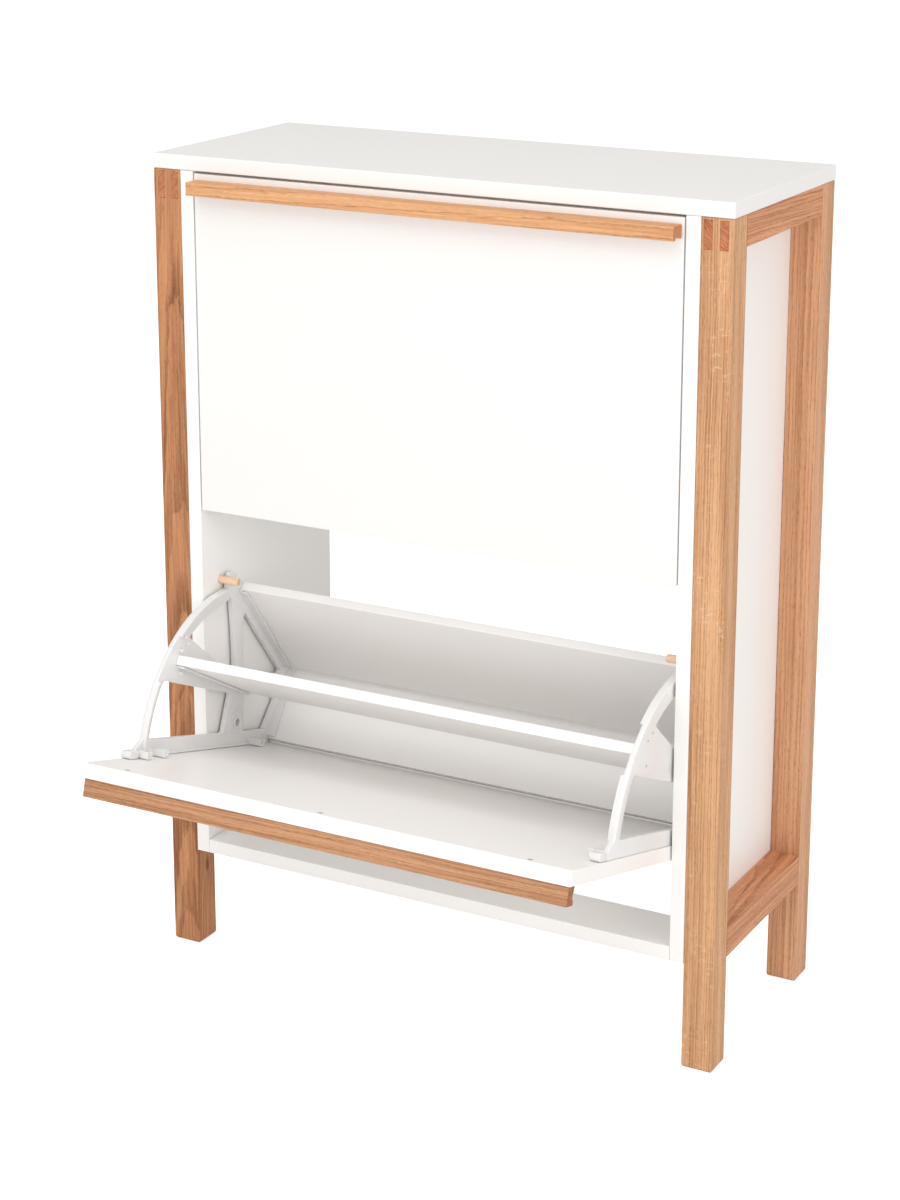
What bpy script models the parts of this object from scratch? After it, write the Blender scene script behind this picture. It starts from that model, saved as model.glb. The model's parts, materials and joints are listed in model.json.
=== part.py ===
"""Shoe cabinet: white lacquered panels between two oak frames, with two tip-out bins.

Metres, +Z up, +X to the right as seen from the front, and the front faces -Y.
The origin is on the floor under the middle of the whole object, which stands here with its
lower bin tipped open and its upper bin shut.
"""

import math

import bmesh
import bpy
from mathutils import Vector
from mathutils.geometry import interpolate_bezier

GAP = 0.0003  # kept between pieces that touch

# Overall, with y = 0 on the front plane of the frames and panels
WIDTH = 0.750
DEPTH = 0.3035
HEIGHT = 1.022
PANEL = 0.018
TOP_OVERHANG = 0.001

# Oak frames: two posts joined by a top rail and a lower rail on each side
POST = 0.038
TOP_RAIL_HEIGHT = 0.036
LOWER_RAIL_Z = 0.1315
LOWER_RAIL_HEIGHT = 0.038
FOOT_ROUNDING = 0.003
TENON_THICKNESS = 0.0095
TENON_PITCH = 0.0189
TENON_INSET = 0.0014  # from the post's middle towards the side panel
TENON_TOP_HAUNCH = 0.003
TENON_BOTTOM_SHOULDER = 0.001
BLIND_TENON_THICKNESS = 0.012
BLIND_TENON_LENGTH = 0.025
BLIND_TENON_SHOULDER = 0.005

# Carcass between the frames
SIDE_PANEL_Z = 0.130
BOTTOM_BOARD_DEPTH = 0.078
STRETCHER_HEIGHT = 0.100
DOWEL_RADIUS = 0.004
DOWEL_IN_POST = 0.024
DOWEL_IN_PANEL = 0.012
DOWEL_HEIGHTS = {"lower": 0.250, "upper": 0.880}

# Bins, each about its own pivot line
PIVOT_Y = 0.0357
PIVOT_Z = {"lower": 0.2812, "upper": 0.7017}
REST_ANGLE = {"lower": math.radians(74.5), "upper": 0.0}
PIVOT_V = 0.0177  # height of the pivot above the flap's inner face
PIN_RADIUS = 0.004
PIN_IN_PANEL = 0.010
PIN_IN_FITTING = 0.0045
PEG_RADIUS = 0.005
PEG_IN_PANEL = 0.010
PEG_REACH = 0.028
PEG_CHAMFER = 0.0012
PEG_Y = 0.0033  # from the pivot
PEG_Z = 0.2028

# A bin's boards, as u along the flap from the pivot and v up from the flap's inner face
FLAP_WIDTH = 0.6345
FLAP_U = (-0.1172, 0.2993)
HANDLE_WIDTH = 0.629
HANDLE_REACH = 0.022
HANDLE_HEIGHT = 0.016
HANDLE_EDGE = {"lower": 0.0034, "upper": 0.0072}  # from the flap's edge
HANDLE_SCREWS_X = (-0.262, 0.0, 0.262)
BOARD = 0.012
BOARDS = {  # inner face from one end to the other, and 1 where the board lies left of that line
    "middle_shelf": ((0.1421, 0.1108), (-0.0250, 0.0693), -1),
    "high_back_board": ((0.0174, 0.2026), (-0.1180, 0.1000), -1),
    "low_back_board": ((-0.0964, 0.0053), (-0.1310, 0.1000), 1),
}

# Moulded fittings at the ends of a bin
FITTING_CLEARANCE = 0.003
WEB = 0.0065
ARC_FLANGE_WIDTH = 0.010
ARC_RADIUS = 0.191
ARC_INNER_LOW = 0.179
ARC_INNER_HIGH = 0.173
FLANGE_RADIUS = 0.187
LEDGE_REACH = 0.011
LEDGE = 0.003
LEDGE_END = 0.004
LUG_X = 0.025  # how far the lugs reach in from the fitting's outer face
LUG_HEIGHT = 0.010
LUG_WIDTH = 0.011
LUG_FLOOR = 0.0035
LUG_SLOT = 0.005
LUG_CORNER = 0.002
LUGS_U = {"front": 0.200, "middle": 0.165, "rear": -0.055}
NOSE_U = (0.2072, 0.2265)
NOSE_REACH = 0.014
SCREW_HEAD_RADIUS = 0.0035
SCREW_SHANK_RADIUS = 0.0018
SCREW_HEAD = 0.0025
SCREW_IN_LUG = 0.018  # from the fitting's outer face
SCREWED_LUGS = ("front", "rear")
RING_CENTRE = (-0.0154, 0.0313)
RING_HOLE_RADIUS = 0.005
RING_RADIUS = 0.0085
RING_TOP = 0.0085  # from the fitting's outer face
LOCATING_PINS = ((0.1240, 0.1360), (0.1350, 0.1275), (0.1310, 0.0995), (0.1310, 0.1445))
LOCATING_PIN_RADIUS = 0.0022
LOCATING_PIN_TOP = 0.0115

FINISHES = {
    "white_lacquer": ((0.93, 0.92, 0.90, 1.0), 0.35, 0.0),
    "oak": ((0.60, 0.36, 0.19, 1.0), 0.50, 0.0),
    "beech": ((0.86, 0.64, 0.45, 1.0), 0.55, 0.0),
    "white_plastic": ((0.90, 0.90, 0.91, 1.0), 0.40, 0.0),
    "steel": ((0.62, 0.62, 0.60, 1.0), 0.35, 1.0),
}

INNER = WIDTH / 2 - POST - PANEL  # from the middle to a side panel's inner face
FRAME_TOP = HEIGHT - PANEL - GAP
FITTING_X = INNER - FITTING_CLEARANCE


def bin_point(u, v):
    """A point of a bin as (y, z) from its pivot, with the bin shut."""
    return v - PIVOT_V, u


def material(name, finish):
    colour, roughness, metallic = FINISHES[finish]
    made = bpy.data.materials.new(f"{name} {finish}")
    made.use_nodes = True
    shader = made.node_tree.nodes["Principled BSDF"]
    shader.inputs["Base Color"].default_value = colour
    shader.inputs["Roughness"].default_value = roughness
    shader.inputs["Metallic"].default_value = metallic
    made.diffuse_color = colour
    return made


def solid(name, bm, finish, parent):
    """Makes a named object of the bmesh. A piece with no finish is a tool for a Boolean."""
    bmesh.ops.recalc_face_normals(bm, faces=bm.faces)
    mesh = bpy.data.meshes.new(name)
    bm.to_mesh(mesh)
    bm.free()
    obj = bpy.data.objects.new(name, mesh)
    bpy.context.scene.collection.objects.link(obj)
    obj.parent = parent
    if finish:
        mesh.materials.append(material(name, finish))
    else:
        obj.hide_render = True
        obj.display_type = "WIRE"
    return obj


def box(name, low, high, finish=None, parent=None):
    low, high = Vector(low), Vector(high)
    bm = bmesh.new()
    bmesh.ops.create_cube(bm, size=1.0)
    bmesh.ops.scale(bm, vec=high - low, verts=bm.verts)
    obj = solid(name, bm, finish, parent)
    obj.location = (low + high) / 2
    return obj


def prism(name, outline, x_range, finish=None, parent=None):
    """Extrudes an outline of (y, z) points along X."""
    x_low, x_high = sorted(x_range)
    bm = bmesh.new()
    face = bm.faces.new([bm.verts.new((0.0, y, z)) for y, z in outline])
    extruded = bmesh.ops.extrude_face_region(bm, geom=[face])
    moved = [item for item in extruded["geom"] if isinstance(item, bmesh.types.BMVert)]
    bmesh.ops.translate(bm, vec=(x_high - x_low, 0.0, 0.0), verts=moved)
    obj = solid(name, bm, finish, parent)
    obj.location.x = x_low
    return obj


def bin_prism(name, outline, x_range, finish=None, parent=None):
    """Extrudes an outline of (u, v) points along X, in a bin's own place."""
    return prism(name, [bin_point(u, v) for u, v in outline], x_range, finish, parent)


def turned(name, profile, finish=None, parent=None, sides=24):
    """Turns a profile of (height, radius) points about the object's own Z axis."""
    bm = bmesh.new()
    rings = []
    for height, radius in profile:
        angles = [math.tau * step / sides for step in range(sides)]
        rings.append([bm.verts.new((radius * math.cos(a), radius * math.sin(a), height)) for a in angles])
    for below, above in zip(rings, rings[1:]):
        for step in range(sides):
            after = (step + 1) % sides
            bm.faces.new((below[step], below[after], above[after], above[step]))
    bm.faces.new(rings[0])
    bm.faces.new(rings[-1])
    obj = solid(name, bm, finish, parent)
    obj.data.shade_smooth()
    obj.data.set_sharp_from_angle(angle=math.radians(30))
    return obj


def rod(name, x_range, y, z, radius, finish=None, parent=None, chamfer=0.0):
    """A round bar along X, with chamfered ends where a chamfer is given."""
    x_low, x_high = sorted(x_range)
    length = x_high - x_low
    profile = [(0.0, radius), (length, radius)]
    if chamfer:
        low_end = [(0.0, radius - chamfer), (chamfer, radius)]
        high_end = [(length - chamfer, radius), (length, radius - chamfer)]
        profile = low_end + high_end
    obj = turned(name, profile, finish, parent)
    obj.rotation_euler.y = math.radians(90)
    obj.location = (x_low, y, z)
    return obj


def soften(obj, width, segments=2):
    """Rounds the edges that turn by more than 40 degrees."""
    modifier = obj.modifiers.new("edge rounding", "BEVEL")
    modifier.width = width
    modifier.segments = segments
    modifier.limit_method = "ANGLE"
    modifier.angle_limit = math.radians(40)


def combine(obj, tool, operation):
    modifier = obj.modifiers.new(f"{operation.lower()} {tool.name}", "BOOLEAN")
    modifier.operation = operation
    modifier.solver = "EXACT"
    modifier.object = tool


def cut(obj, tool):
    combine(obj, tool, "DIFFERENCE")


def join(obj, tool):
    combine(obj, tool, "UNION")


def empty(name, location, parent=None):
    obj = bpy.data.objects.new(name, None)
    bpy.context.scene.collection.objects.link(obj)
    obj.location = location
    obj.parent = parent
    return obj


def across(side, *distances):
    """Distances from the middle plane as X positions on one side, -1 left or 1 right."""
    return sorted(side * distance for distance in distances)


def plate(name, x_range, y_range, z_range, finish=None, parent=None):
    """A box given by its range along each axis."""
    low, high = zip(x_range, y_range, z_range)
    return box(name, low, high, finish, parent)


# ---- Oak frames ----


def tenon_spans():
    """The twin tenons' distances from the middle plane."""
    middle = WIDTH / 2 - POST / 2 - TENON_INSET
    half = TENON_THICKNESS / 2
    centres = [middle - TENON_PITCH / 2, middle + TENON_PITCH / 2]
    return [(centre - half, centre + half) for centre in centres]


def tenon_height():
    low = FRAME_TOP - TOP_RAIL_HEIGHT + TENON_BOTTOM_SHOULDER
    return low, FRAME_TOP - TENON_TOP_HAUNCH


def blind_tenon_range():
    """The lower rail's hidden tenon: distances from the middle plane, and heights."""
    middle = WIDTH / 2 - POST / 2
    half = BLIND_TENON_THICKNESS / 2
    low = LOWER_RAIL_Z + BLIND_TENON_SHOULDER
    high = LOWER_RAIL_Z + LOWER_RAIL_HEIGHT - BLIND_TENON_SHOULDER
    return (middle - half, middle + half), (low, high)


def grown(span, by=GAP):
    low, high = span
    return low - by, high + by


def round_foot(obj):
    """Rounds the edges around the foot of a post."""
    bm = bmesh.new()
    bm.from_mesh(obj.data)
    lowest = min(vert.co.z for vert in bm.verts)
    foot = [edge for edge in bm.edges if all(vert.co.z == lowest for vert in edge.verts)]
    bmesh.ops.bevel(bm, geom=foot, offset=FOOT_ROUNDING, segments=3, profile=0.5, affect="EDGES")
    bm.to_mesh(obj.data)
    bm.free()


def post(side_name, side, end, cabinet):
    """One leg of a frame, with its mortises and the holes of the dowels that hold the side panel."""
    name = f"{side_name}_{end}_post"
    y_range = (0.0, POST) if end == "front" else (DEPTH - POST, DEPTH)
    x_range = across(side, WIDTH / 2 - POST, WIDTH / 2)
    obj = plate(name, x_range, y_range, (0.0, FRAME_TOP), "oak", cabinet)
    round_foot(obj)
    soften(obj, 0.0008)
    through = grown(y_range, 0.002)
    for number, span in enumerate(tenon_spans(), 1):
        mortise = plate(f"{name}_mortise_{number}", across(side, *grown(span)), through,
                        grown(tenon_height()), parent=cabinet)
        cut(obj, mortise)
    span, heights = blind_tenon_range()
    depth = BLIND_TENON_LENGTH + GAP
    deep = (POST - depth, POST + 0.002) if end == "front" else (DEPTH - POST - 0.002, DEPTH - POST + depth)
    blind = plate(f"{name}_blind_mortise", across(side, *grown(span)), deep, grown(heights), parent=cabinet)
    cut(obj, blind)
    for level, z in DOWEL_HEIGHTS.items():
        hole = across(side, WIDTH / 2 - POST - 0.002, WIDTH / 2 - POST + DOWEL_IN_POST + GAP)
        y = sum(y_range) / 2
        cut(obj, rod(f"{name}_{level}_dowel_hole", hole, y, z, DOWEL_RADIUS + GAP, parent=cabinet))
    return obj


def top_rail(side_name, side, cabinet):
    """The rail under the top, with twin tenons that run through both posts."""
    name = f"{side_name}_top_rail"
    shoulders = (POST + GAP, DEPTH - POST - GAP)
    x_range = across(side, WIDTH / 2 - POST, WIDTH / 2)
    obj = plate(name, x_range, shoulders, (FRAME_TOP - TOP_RAIL_HEIGHT, FRAME_TOP), "oak", cabinet)
    soften(obj, 0.0008)
    for number, span in enumerate(tenon_spans(), 1):
        thickness = across(side, *span)
        tenon = plate(f"{name}_tenon_{number}", thickness, (0.0, DEPTH), tenon_height(), parent=cabinet)
        join(obj, tenon)
    return obj


def lower_rail(side_name, side, cabinet):
    """The rail above the feet, with a hidden tenon in each post."""
    name = f"{side_name}_lower_rail"
    shoulders = (POST + GAP, DEPTH - POST - GAP)
    x_range = across(side, WIDTH / 2 - POST, WIDTH / 2)
    heights = (LOWER_RAIL_Z, LOWER_RAIL_Z + LOWER_RAIL_HEIGHT)
    obj = plate(name, x_range, shoulders, heights, "oak", cabinet)
    soften(obj, 0.0008)
    span, tenon_heights = blind_tenon_range()
    reach = (POST - BLIND_TENON_LENGTH, DEPTH - POST + BLIND_TENON_LENGTH)
    join(obj, plate(f"{name}_tenon", across(side, *span), reach, tenon_heights, parent=cabinet))
    return obj


# ---- Carcass ----


def top_panel(cabinet):
    half = WIDTH / 2 + TOP_OVERHANG
    low = (-half, -TOP_OVERHANG, HEIGHT - PANEL)
    high = (half, DEPTH + TOP_OVERHANG, HEIGHT)
    obj = box("top_panel", low, high, "white_lacquer", cabinet)
    soften(obj, 0.0012)
    return obj


def side_panel(side_name, side, cabinet):
    """A panel inside each frame, drilled for the dowels, the pivot pins and the stop pegs."""
    name = f"{side_name}_side_panel"
    x_range = across(side, INNER, INNER + PANEL - GAP)
    obj = plate(name, x_range, (0.0, DEPTH), (SIDE_PANEL_Z, FRAME_TOP), "white_lacquer", cabinet)
    soften(obj, 0.0008)
    for end, y in (("front", POST / 2), ("rear", DEPTH - POST / 2)):
        for level, z in DOWEL_HEIGHTS.items():
            hole = across(side, WIDTH / 2 - POST - DOWEL_IN_PANEL - GAP, WIDTH / 2 - POST + 0.002)
            cut(obj, rod(f"{name}_{end}_{level}_hole", hole, y, z, DOWEL_RADIUS + GAP, parent=cabinet))
    for level, z in PIVOT_Z.items():
        pin_hole = across(side, INNER - 0.002, INNER + PIN_IN_PANEL + GAP)
        peg_hole = across(side, INNER - 0.002, INNER + PEG_IN_PANEL + GAP)
        cut(obj, rod(f"{name}_{level}_pin_hole", pin_hole, PIVOT_Y, z, PIN_RADIUS + GAP, parent=cabinet))
        cut(obj, rod(f"{name}_{level}_peg_hole", peg_hole, PIVOT_Y + PEG_Y, z + PEG_Z, PEG_RADIUS + GAP,
                     parent=cabinet))
    return obj


def bottom_panel(cabinet):
    """The board across the front under the lower bin, and no deeper than that bin's swing allows."""
    span = (-INNER + GAP, INNER - GAP)
    heights = (SIDE_PANEL_Z, SIDE_PANEL_Z + PANEL)
    obj = plate("bottom_panel", span, (0.0, BOTTOM_BOARD_DEPTH), heights, "white_lacquer", cabinet)
    soften(obj, 0.0008)
    return obj


def rear_stretcher(cabinet):
    """The board under the top at the back, which keeps the carcass square."""
    span = (-INNER + GAP, INNER - GAP)
    heights = (FRAME_TOP - STRETCHER_HEIGHT, FRAME_TOP)
    obj = plate("rear_stretcher", span, (DEPTH - PANEL, DEPTH), heights, "white_lacquer", cabinet)
    soften(obj, 0.0008)
    return obj


def dowels(side_name, side, cabinet):
    """Hidden dowels between each post and the side panel."""
    for end, y in (("front", POST / 2), ("rear", DEPTH - POST / 2)):
        for level, z in DOWEL_HEIGHTS.items():
            inner = WIDTH / 2 - POST - DOWEL_IN_PANEL
            outer = WIDTH / 2 - POST + DOWEL_IN_POST
            rod(f"{side_name}_{end}_{level}_dowel", across(side, inner, outer), y, z, DOWEL_RADIUS, "beech",
                cabinet, chamfer=0.001)


def pins_and_pegs(side_name, side, cabinet):
    """For each bin, the steel pin that it turns on and the wooden peg that stops it."""
    for level, z in PIVOT_Z.items():
        pin = across(side, FITTING_X - PIN_IN_FITTING, INNER + PIN_IN_PANEL)
        peg = across(side, INNER - PEG_REACH, INNER + PEG_IN_PANEL)
        rod(f"{level}_{side_name}_pivot_pin", pin, PIVOT_Y, z, PIN_RADIUS, "steel", cabinet, chamfer=0.0005)
        rod(f"{level}_{side_name}_stop_peg", peg, PIVOT_Y + PEG_Y, z + PEG_Z, PEG_RADIUS, "beech", cabinet,
            chamfer=PEG_CHAMFER)


# ---- Bins ----


def screw_profile(length, clearance=0.0):
    """A countersunk screw, head up, with its head's face at height 0."""
    head = SCREW_HEAD_RADIUS + clearance
    shank = SCREW_SHANK_RADIUS + clearance
    return [
        (-length - clearance, shank),
        (-SCREW_HEAD - clearance, shank),
        (-0.0005 - clearance, head),
        (clearance, head),
    ]


def screw(name, x, u, v, length, drilled, hinge):
    """A screw driven into the flap, with its hole cut through the pieces that it holds."""
    y, z = bin_point(u, v)
    tools = [
        turned(name, screw_profile(length), "steel", hinge, sides=16),
        turned(f"{name}_hole", screw_profile(length, GAP), parent=hinge, sides=16),
    ]
    for tool in tools:
        tool.rotation_euler.x = math.radians(-90)
        tool.location = (x, y, z)
    for piece in drilled:
        cut(piece, tools[1])


def flap(level, hinge):
    """The front panel of a bin."""
    low_u, high_u = FLAP_U
    back, bottom = bin_point(low_u, 0.0)
    front, top = bin_point(high_u, -PANEL)
    span = (-FLAP_WIDTH / 2, FLAP_WIDTH / 2)
    obj = plate(f"{level}_bin_flap", span, (front, back), (bottom, top), "white_lacquer", hinge)
    soften(obj, 0.001)
    return obj


def handle(level, hinge):
    """An oak strip along the flap's upper edge, hollowed underneath for the fingers."""
    root = -PANEL - GAP
    top = FLAP_U[1] - HANDLE_EDGE[level]
    bottom = top - HANDLE_HEIGHT
    tip = root - HANDLE_REACH
    lip = tip + 0.0055
    crest = Vector((tip + 0.008, bottom + 0.0027, 0.0))
    lip_end = Vector((lip, bottom, 0.0))
    root_end = Vector((root, bottom, 0.0))
    hollow = interpolate_bezier(lip_end, lip_end + Vector((0.0002, 0.0015, 0.0)),
                                crest - Vector((0.0012, 0.0002, 0.0)), crest, 5)
    hollow += interpolate_bezier(crest, crest + Vector((0.004, 0.0006, 0.0)),
                                 root_end + Vector((-0.005, 0.0004, 0.0)), root_end, 8)[1:]
    outline = [(root, top), (tip, top), (tip, bottom)] + [(point.x, point.y) for point in hollow]
    span = (-HANDLE_WIDTH / 2, HANDLE_WIDTH / 2)
    obj = bin_prism(f"{level}_bin_handle", [(u, v) for v, u in outline], span, "oak", hinge)
    soften(obj, 0.0008)
    return obj


def board_outline(start, end, side_of_line):
    """A board's section: the two ends of its inner face, then those of its outer face."""
    start, end = Vector(start), Vector(end)
    along = (end - start).normalized()
    thick = Vector((-along.y, along.x)) * BOARD * side_of_line
    return [start, end, end + thick, start + thick]


def ledge_outline(start, end, side_of_line):
    """A rib along the inner face of a board, clear of it by the gap."""
    start, end = Vector(start), Vector(end)
    along = (end - start).normalized()
    away = Vector((along.y, -along.x)) * side_of_line
    first = start + along * LEDGE_END
    last = end - along * LEDGE_END
    return [first + away * GAP, last + away * GAP, last + away * LEDGE, first + away * LEDGE]


def boards(level, hinge):
    """The shelf and the two back boards, held between the fittings."""
    reach = FITTING_X - WEB - GAP
    for part, line in BOARDS.items():
        name = f"{level}_bin_{part}"
        obj = bin_prism(name, board_outline(*line), (-reach, reach), "white_lacquer", hinge)
        soften(obj, 0.0006)


def arc(radius, start, end, steps):
    """Points on an arc about the pivot, as (u, v), with the angles in degrees."""
    angles = [math.radians(start + (end - start) * step / steps) for step in range(steps + 1)]
    return [(radius * math.cos(a), PIVOT_V + radius * math.sin(a)) for a in angles]


def web_outline():
    """The fitting's plate: its foot on the flap, its arc, its hook, and its back behind the boards."""
    nose = [(-0.1075, GAP), (0.208, GAP), (0.208, 0.004), (0.204, 0.011), (0.196, 0.0165)]
    hook = [(0.0452, 0.206), (0.0452, 0.222), (0.043, 0.224), (0.031, 0.224), (0.028, 0.221), (0.028, 0.214)]
    high_foot, high_top = board_outline(*BOARDS["high_back_board"])[2:]
    low_top, low_foot = board_outline(*BOARDS["low_back_board"])[2:]
    back = [high_top, high_foot, low_top, low_foot]
    return nose + arc(ARC_RADIUS, 1.0, 76.5, 24) + hook + back


def windows():
    """The openings of the fitting's plate, each with its name."""
    high_arc = arc(ARC_INNER_HIGH, 74.0, 46.7, 9)
    low_arc = arc(ARC_INNER_LOW, 22.0, 1.0, 7)
    strut_high = [(0.005, 0.094), (0.0029, 0.1008), (0.0179, 0.1487), (0.033, 0.190)]
    strut_low = [(0.0124, 0.0184), (0.0097, 0.0475), (0.0067, 0.0689)]
    return {
        "front_high": [(0.036, 0.192)] + high_arc + [(0.052, 0.1126)] + strut_high,
        "front_low": [(0.1615, 0.0912)] + low_arc + strut_low,
        "rear_high": [(-0.0001, 0.175), (-0.1074, 0.0953), (-0.104, 0.091), (-0.019, 0.091), (-0.007, 0.137)],
        "rear_low": [(-0.110, 0.072), (-0.105, 0.0553), (-0.0853, 0.0184), (-0.034, 0.0184),
                     (-0.0255, 0.072)],
    }


def sector(inner, outer, start, end, steps):
    return arc(outer, start, end, steps) + arc(inner, end, start, steps)


def bar(name, u_range, v_range, x_range, hinge):
    (y_low, z_low), (y_high, z_high) = bin_point(u_range[0], v_range[0]), bin_point(u_range[1], v_range[1])
    return plate(name, x_range, (y_low, y_high), (z_low, z_high), parent=hinge)


def lug_outline(u):
    """A lug's section, as a channel with a floor and two walls."""
    half, slot, low = LUG_WIDTH / 2, LUG_SLOT / 2, 2 * GAP
    shoulder = LUG_HEIGHT - LUG_CORNER
    rounding = (half - LUG_CORNER * 0.3, LUG_HEIGHT - LUG_CORNER * 0.3)
    crown = (half - LUG_CORNER, LUG_HEIGHT)
    right = [(half, low), (half, shoulder), rounding, crown, (slot, LUG_HEIGHT), (slot, LUG_FLOOR)]
    left = [(-across_u, v) for across_u, v in reversed(right)]
    return [(u + across_u, v) for across_u, v in right + left]


def lugs(name, side, hinge):
    """The channels that stand on the flap and take the fitting's screws, and the nose in front of them."""
    reach = across(side, FITTING_X - LUG_X, FITTING_X - 0.004)
    pieces = []
    for end, u in LUGS_U.items():
        pieces.append(bin_prism(f"{name}_{end}_lug", lug_outline(u), reach, parent=hinge))
    nose = across(side, FITTING_X - NOSE_REACH, FITTING_X - 0.0002)
    pieces.append(bar(f"{name}_nose", NOSE_U, (2 * GAP + 0.0002, LUG_HEIGHT), nose, hinge))
    return pieces


def driver_hole(name, x, u, hinge):
    """A bore down through a lug, as wide as a screw's head, for the driver."""
    y, z = bin_point(u, LUG_FLOOR + 0.0002)
    radius = SCREW_HEAD_RADIUS + GAP
    tool = turned(name, [(0.0, radius), (LUG_HEIGHT, radius)], parent=hinge, sides=16)
    tool.rotation_euler.x = math.radians(-90)
    tool.location = (x, y, z)
    return tool


def stud(name, side, place, radius, top, hinge):
    """A round tool or boss along X on the web's inner face."""
    y, z = bin_point(*place)
    return rod(name, across(side, FITTING_X - top, FITTING_X - 0.003), y, z, radius, parent=hinge)


def fitting(level, side_name, side, hinge):
    """A moulded side of a bin, pierced by four windows and carrying the bin's three boards."""
    name = f"{level}_bin_{side_name}_fitting"
    web = across(side, FITTING_X - WEB, FITTING_X)
    obj = bin_prism(name, web_outline(), web, "white_plastic", hinge)
    for window, outline in windows().items():
        through = across(side, FITTING_X - 0.020, FITTING_X + 0.002)
        cut(obj, bin_prism(f"{name}_{window}_window", outline, through, parent=hinge))
    flange = across(side, FITTING_X - ARC_FLANGE_WIDTH, FITTING_X - 0.0005)
    for part, start, end, steps in (("low", -4.6, 22.7, 9), ("high", 42.3, 76.0, 11)):
        outline = sector(FLANGE_RADIUS, ARC_RADIUS - 0.0002, start, end, steps)
        join(obj, bin_prism(f"{name}_{part}_flange", outline, flange, parent=hinge))
    ledge = across(side, FITTING_X - WEB - LEDGE_REACH, FITTING_X - 0.0005)
    for part, line in BOARDS.items():
        join(obj, bin_prism(f"{name}_{part}_ledge", ledge_outline(*line), ledge, parent=hinge))
    for lug in lugs(name, side, hinge):
        join(obj, lug)
    for end in SCREWED_LUGS:
        screw_x = side * (FITTING_X - SCREW_IN_LUG)
        cut(obj, driver_hole(f"{name}_{end}_driver_hole", screw_x, LUGS_U[end], hinge))
    for number, place in enumerate(LOCATING_PINS, 1):
        pin = f"{name}_locating_pin_{number}"
        join(obj, stud(pin, side, place, LOCATING_PIN_RADIUS, LOCATING_PIN_TOP, hinge))
    join(obj, stud(f"{name}_ring", side, RING_CENTRE, RING_RADIUS, RING_TOP, hinge))
    y, z = bin_point(*RING_CENTRE)
    through = across(side, FITTING_X - 0.012, FITTING_X + 0.002)
    cut(obj, rod(f"{name}_ring_hole", through, y, z, RING_HOLE_RADIUS, parent=hinge))
    bore = across(side, FITTING_X - PIN_IN_FITTING - GAP, FITTING_X + 0.002)
    cut(obj, rod(f"{name}_pivot_bore", bore, 0.0, 0.0, PIN_RADIUS + GAP, parent=hinge))
    return obj


def tip_out_bin(level, cabinet):
    """A bin, modelled shut about its pivot line and then turned to where it rests."""
    hinge = empty(f"{level}_bin", (0.0, PIVOT_Y, PIVOT_Z[level]), cabinet)
    front = flap(level, hinge)
    strip = handle(level, hinge)
    boards(level, hinge)
    for side_name, side in SIDES.items():
        moulding = fitting(level, side_name, side, hinge)
        for end in SCREWED_LUGS:
            screw(f"{level}_bin_{side_name}_{end}_screw", side * (FITTING_X - SCREW_IN_LUG), LUGS_U[end],
                  LUG_FLOOR + 0.0008, 0.014, [front, moulding], hinge)
    screw_u = FLAP_U[1] - HANDLE_EDGE[level] - HANDLE_HEIGHT / 2
    for number, x in enumerate(HANDLE_SCREWS_X, 1):
        screw(f"{level}_bin_handle_screw_{number}", x, screw_u, -0.0002, 0.030, [front, strip], hinge)
    hinge.rotation_euler.x = REST_ANGLE[level]


def front_reach():
    """How far the open lower bin's handle stands in front of the frames."""
    y, z = bin_point(FLAP_U[1] - HANDLE_EDGE["lower"], -PANEL - GAP - HANDLE_REACH)
    angle = REST_ANGLE["lower"]
    return z * math.sin(angle) - y * math.cos(angle) - PIVOT_Y


SIDES = {"left": -1, "right": 1}

for leftover in list(bpy.data.objects):
    bpy.data.objects.remove(leftover, do_unlink=True)

whole_depth_middle = (DEPTH + TOP_OVERHANG - front_reach()) / 2
shoe_cabinet = empty("shoe_cabinet", (0.0, -whole_depth_middle, 0.0))
top_panel(shoe_cabinet)
bottom_panel(shoe_cabinet)
rear_stretcher(shoe_cabinet)
for each_name, each_side in SIDES.items():
    side_panel(each_name, each_side, shoe_cabinet)
    for each_end in ("front", "rear"):
        post(each_name, each_side, each_end, shoe_cabinet)
    top_rail(each_name, each_side, shoe_cabinet)
    lower_rail(each_name, each_side, shoe_cabinet)
    dowels(each_name, each_side, shoe_cabinet)
    pins_and_pegs(each_name, each_side, shoe_cabinet)
for each_level in PIVOT_Z:
    tip_out_bin(each_level, shoe_cabinet)
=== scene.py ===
"""Shoe cabinet with two tip-out bins: white lacquered boards between two oak frames."""

import json
import math

import bmesh
import bpy
from mathutils import Euler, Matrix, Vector


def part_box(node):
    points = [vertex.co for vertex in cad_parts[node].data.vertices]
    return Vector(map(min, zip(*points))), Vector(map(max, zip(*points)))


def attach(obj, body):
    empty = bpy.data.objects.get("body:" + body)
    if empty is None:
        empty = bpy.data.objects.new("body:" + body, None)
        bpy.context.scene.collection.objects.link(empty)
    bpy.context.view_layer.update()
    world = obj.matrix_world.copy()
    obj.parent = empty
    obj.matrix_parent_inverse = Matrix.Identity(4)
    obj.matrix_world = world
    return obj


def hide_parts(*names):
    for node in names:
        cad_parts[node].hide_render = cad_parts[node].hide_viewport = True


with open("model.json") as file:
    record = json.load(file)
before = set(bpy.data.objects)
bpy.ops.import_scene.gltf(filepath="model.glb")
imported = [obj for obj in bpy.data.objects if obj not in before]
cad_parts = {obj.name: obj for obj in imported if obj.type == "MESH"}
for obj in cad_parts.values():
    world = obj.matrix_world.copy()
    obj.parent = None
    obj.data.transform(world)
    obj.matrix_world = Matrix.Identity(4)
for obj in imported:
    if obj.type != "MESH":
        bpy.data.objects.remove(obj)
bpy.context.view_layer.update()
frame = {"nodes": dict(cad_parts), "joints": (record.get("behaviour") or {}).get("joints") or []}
nodes = frame["nodes"]

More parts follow.
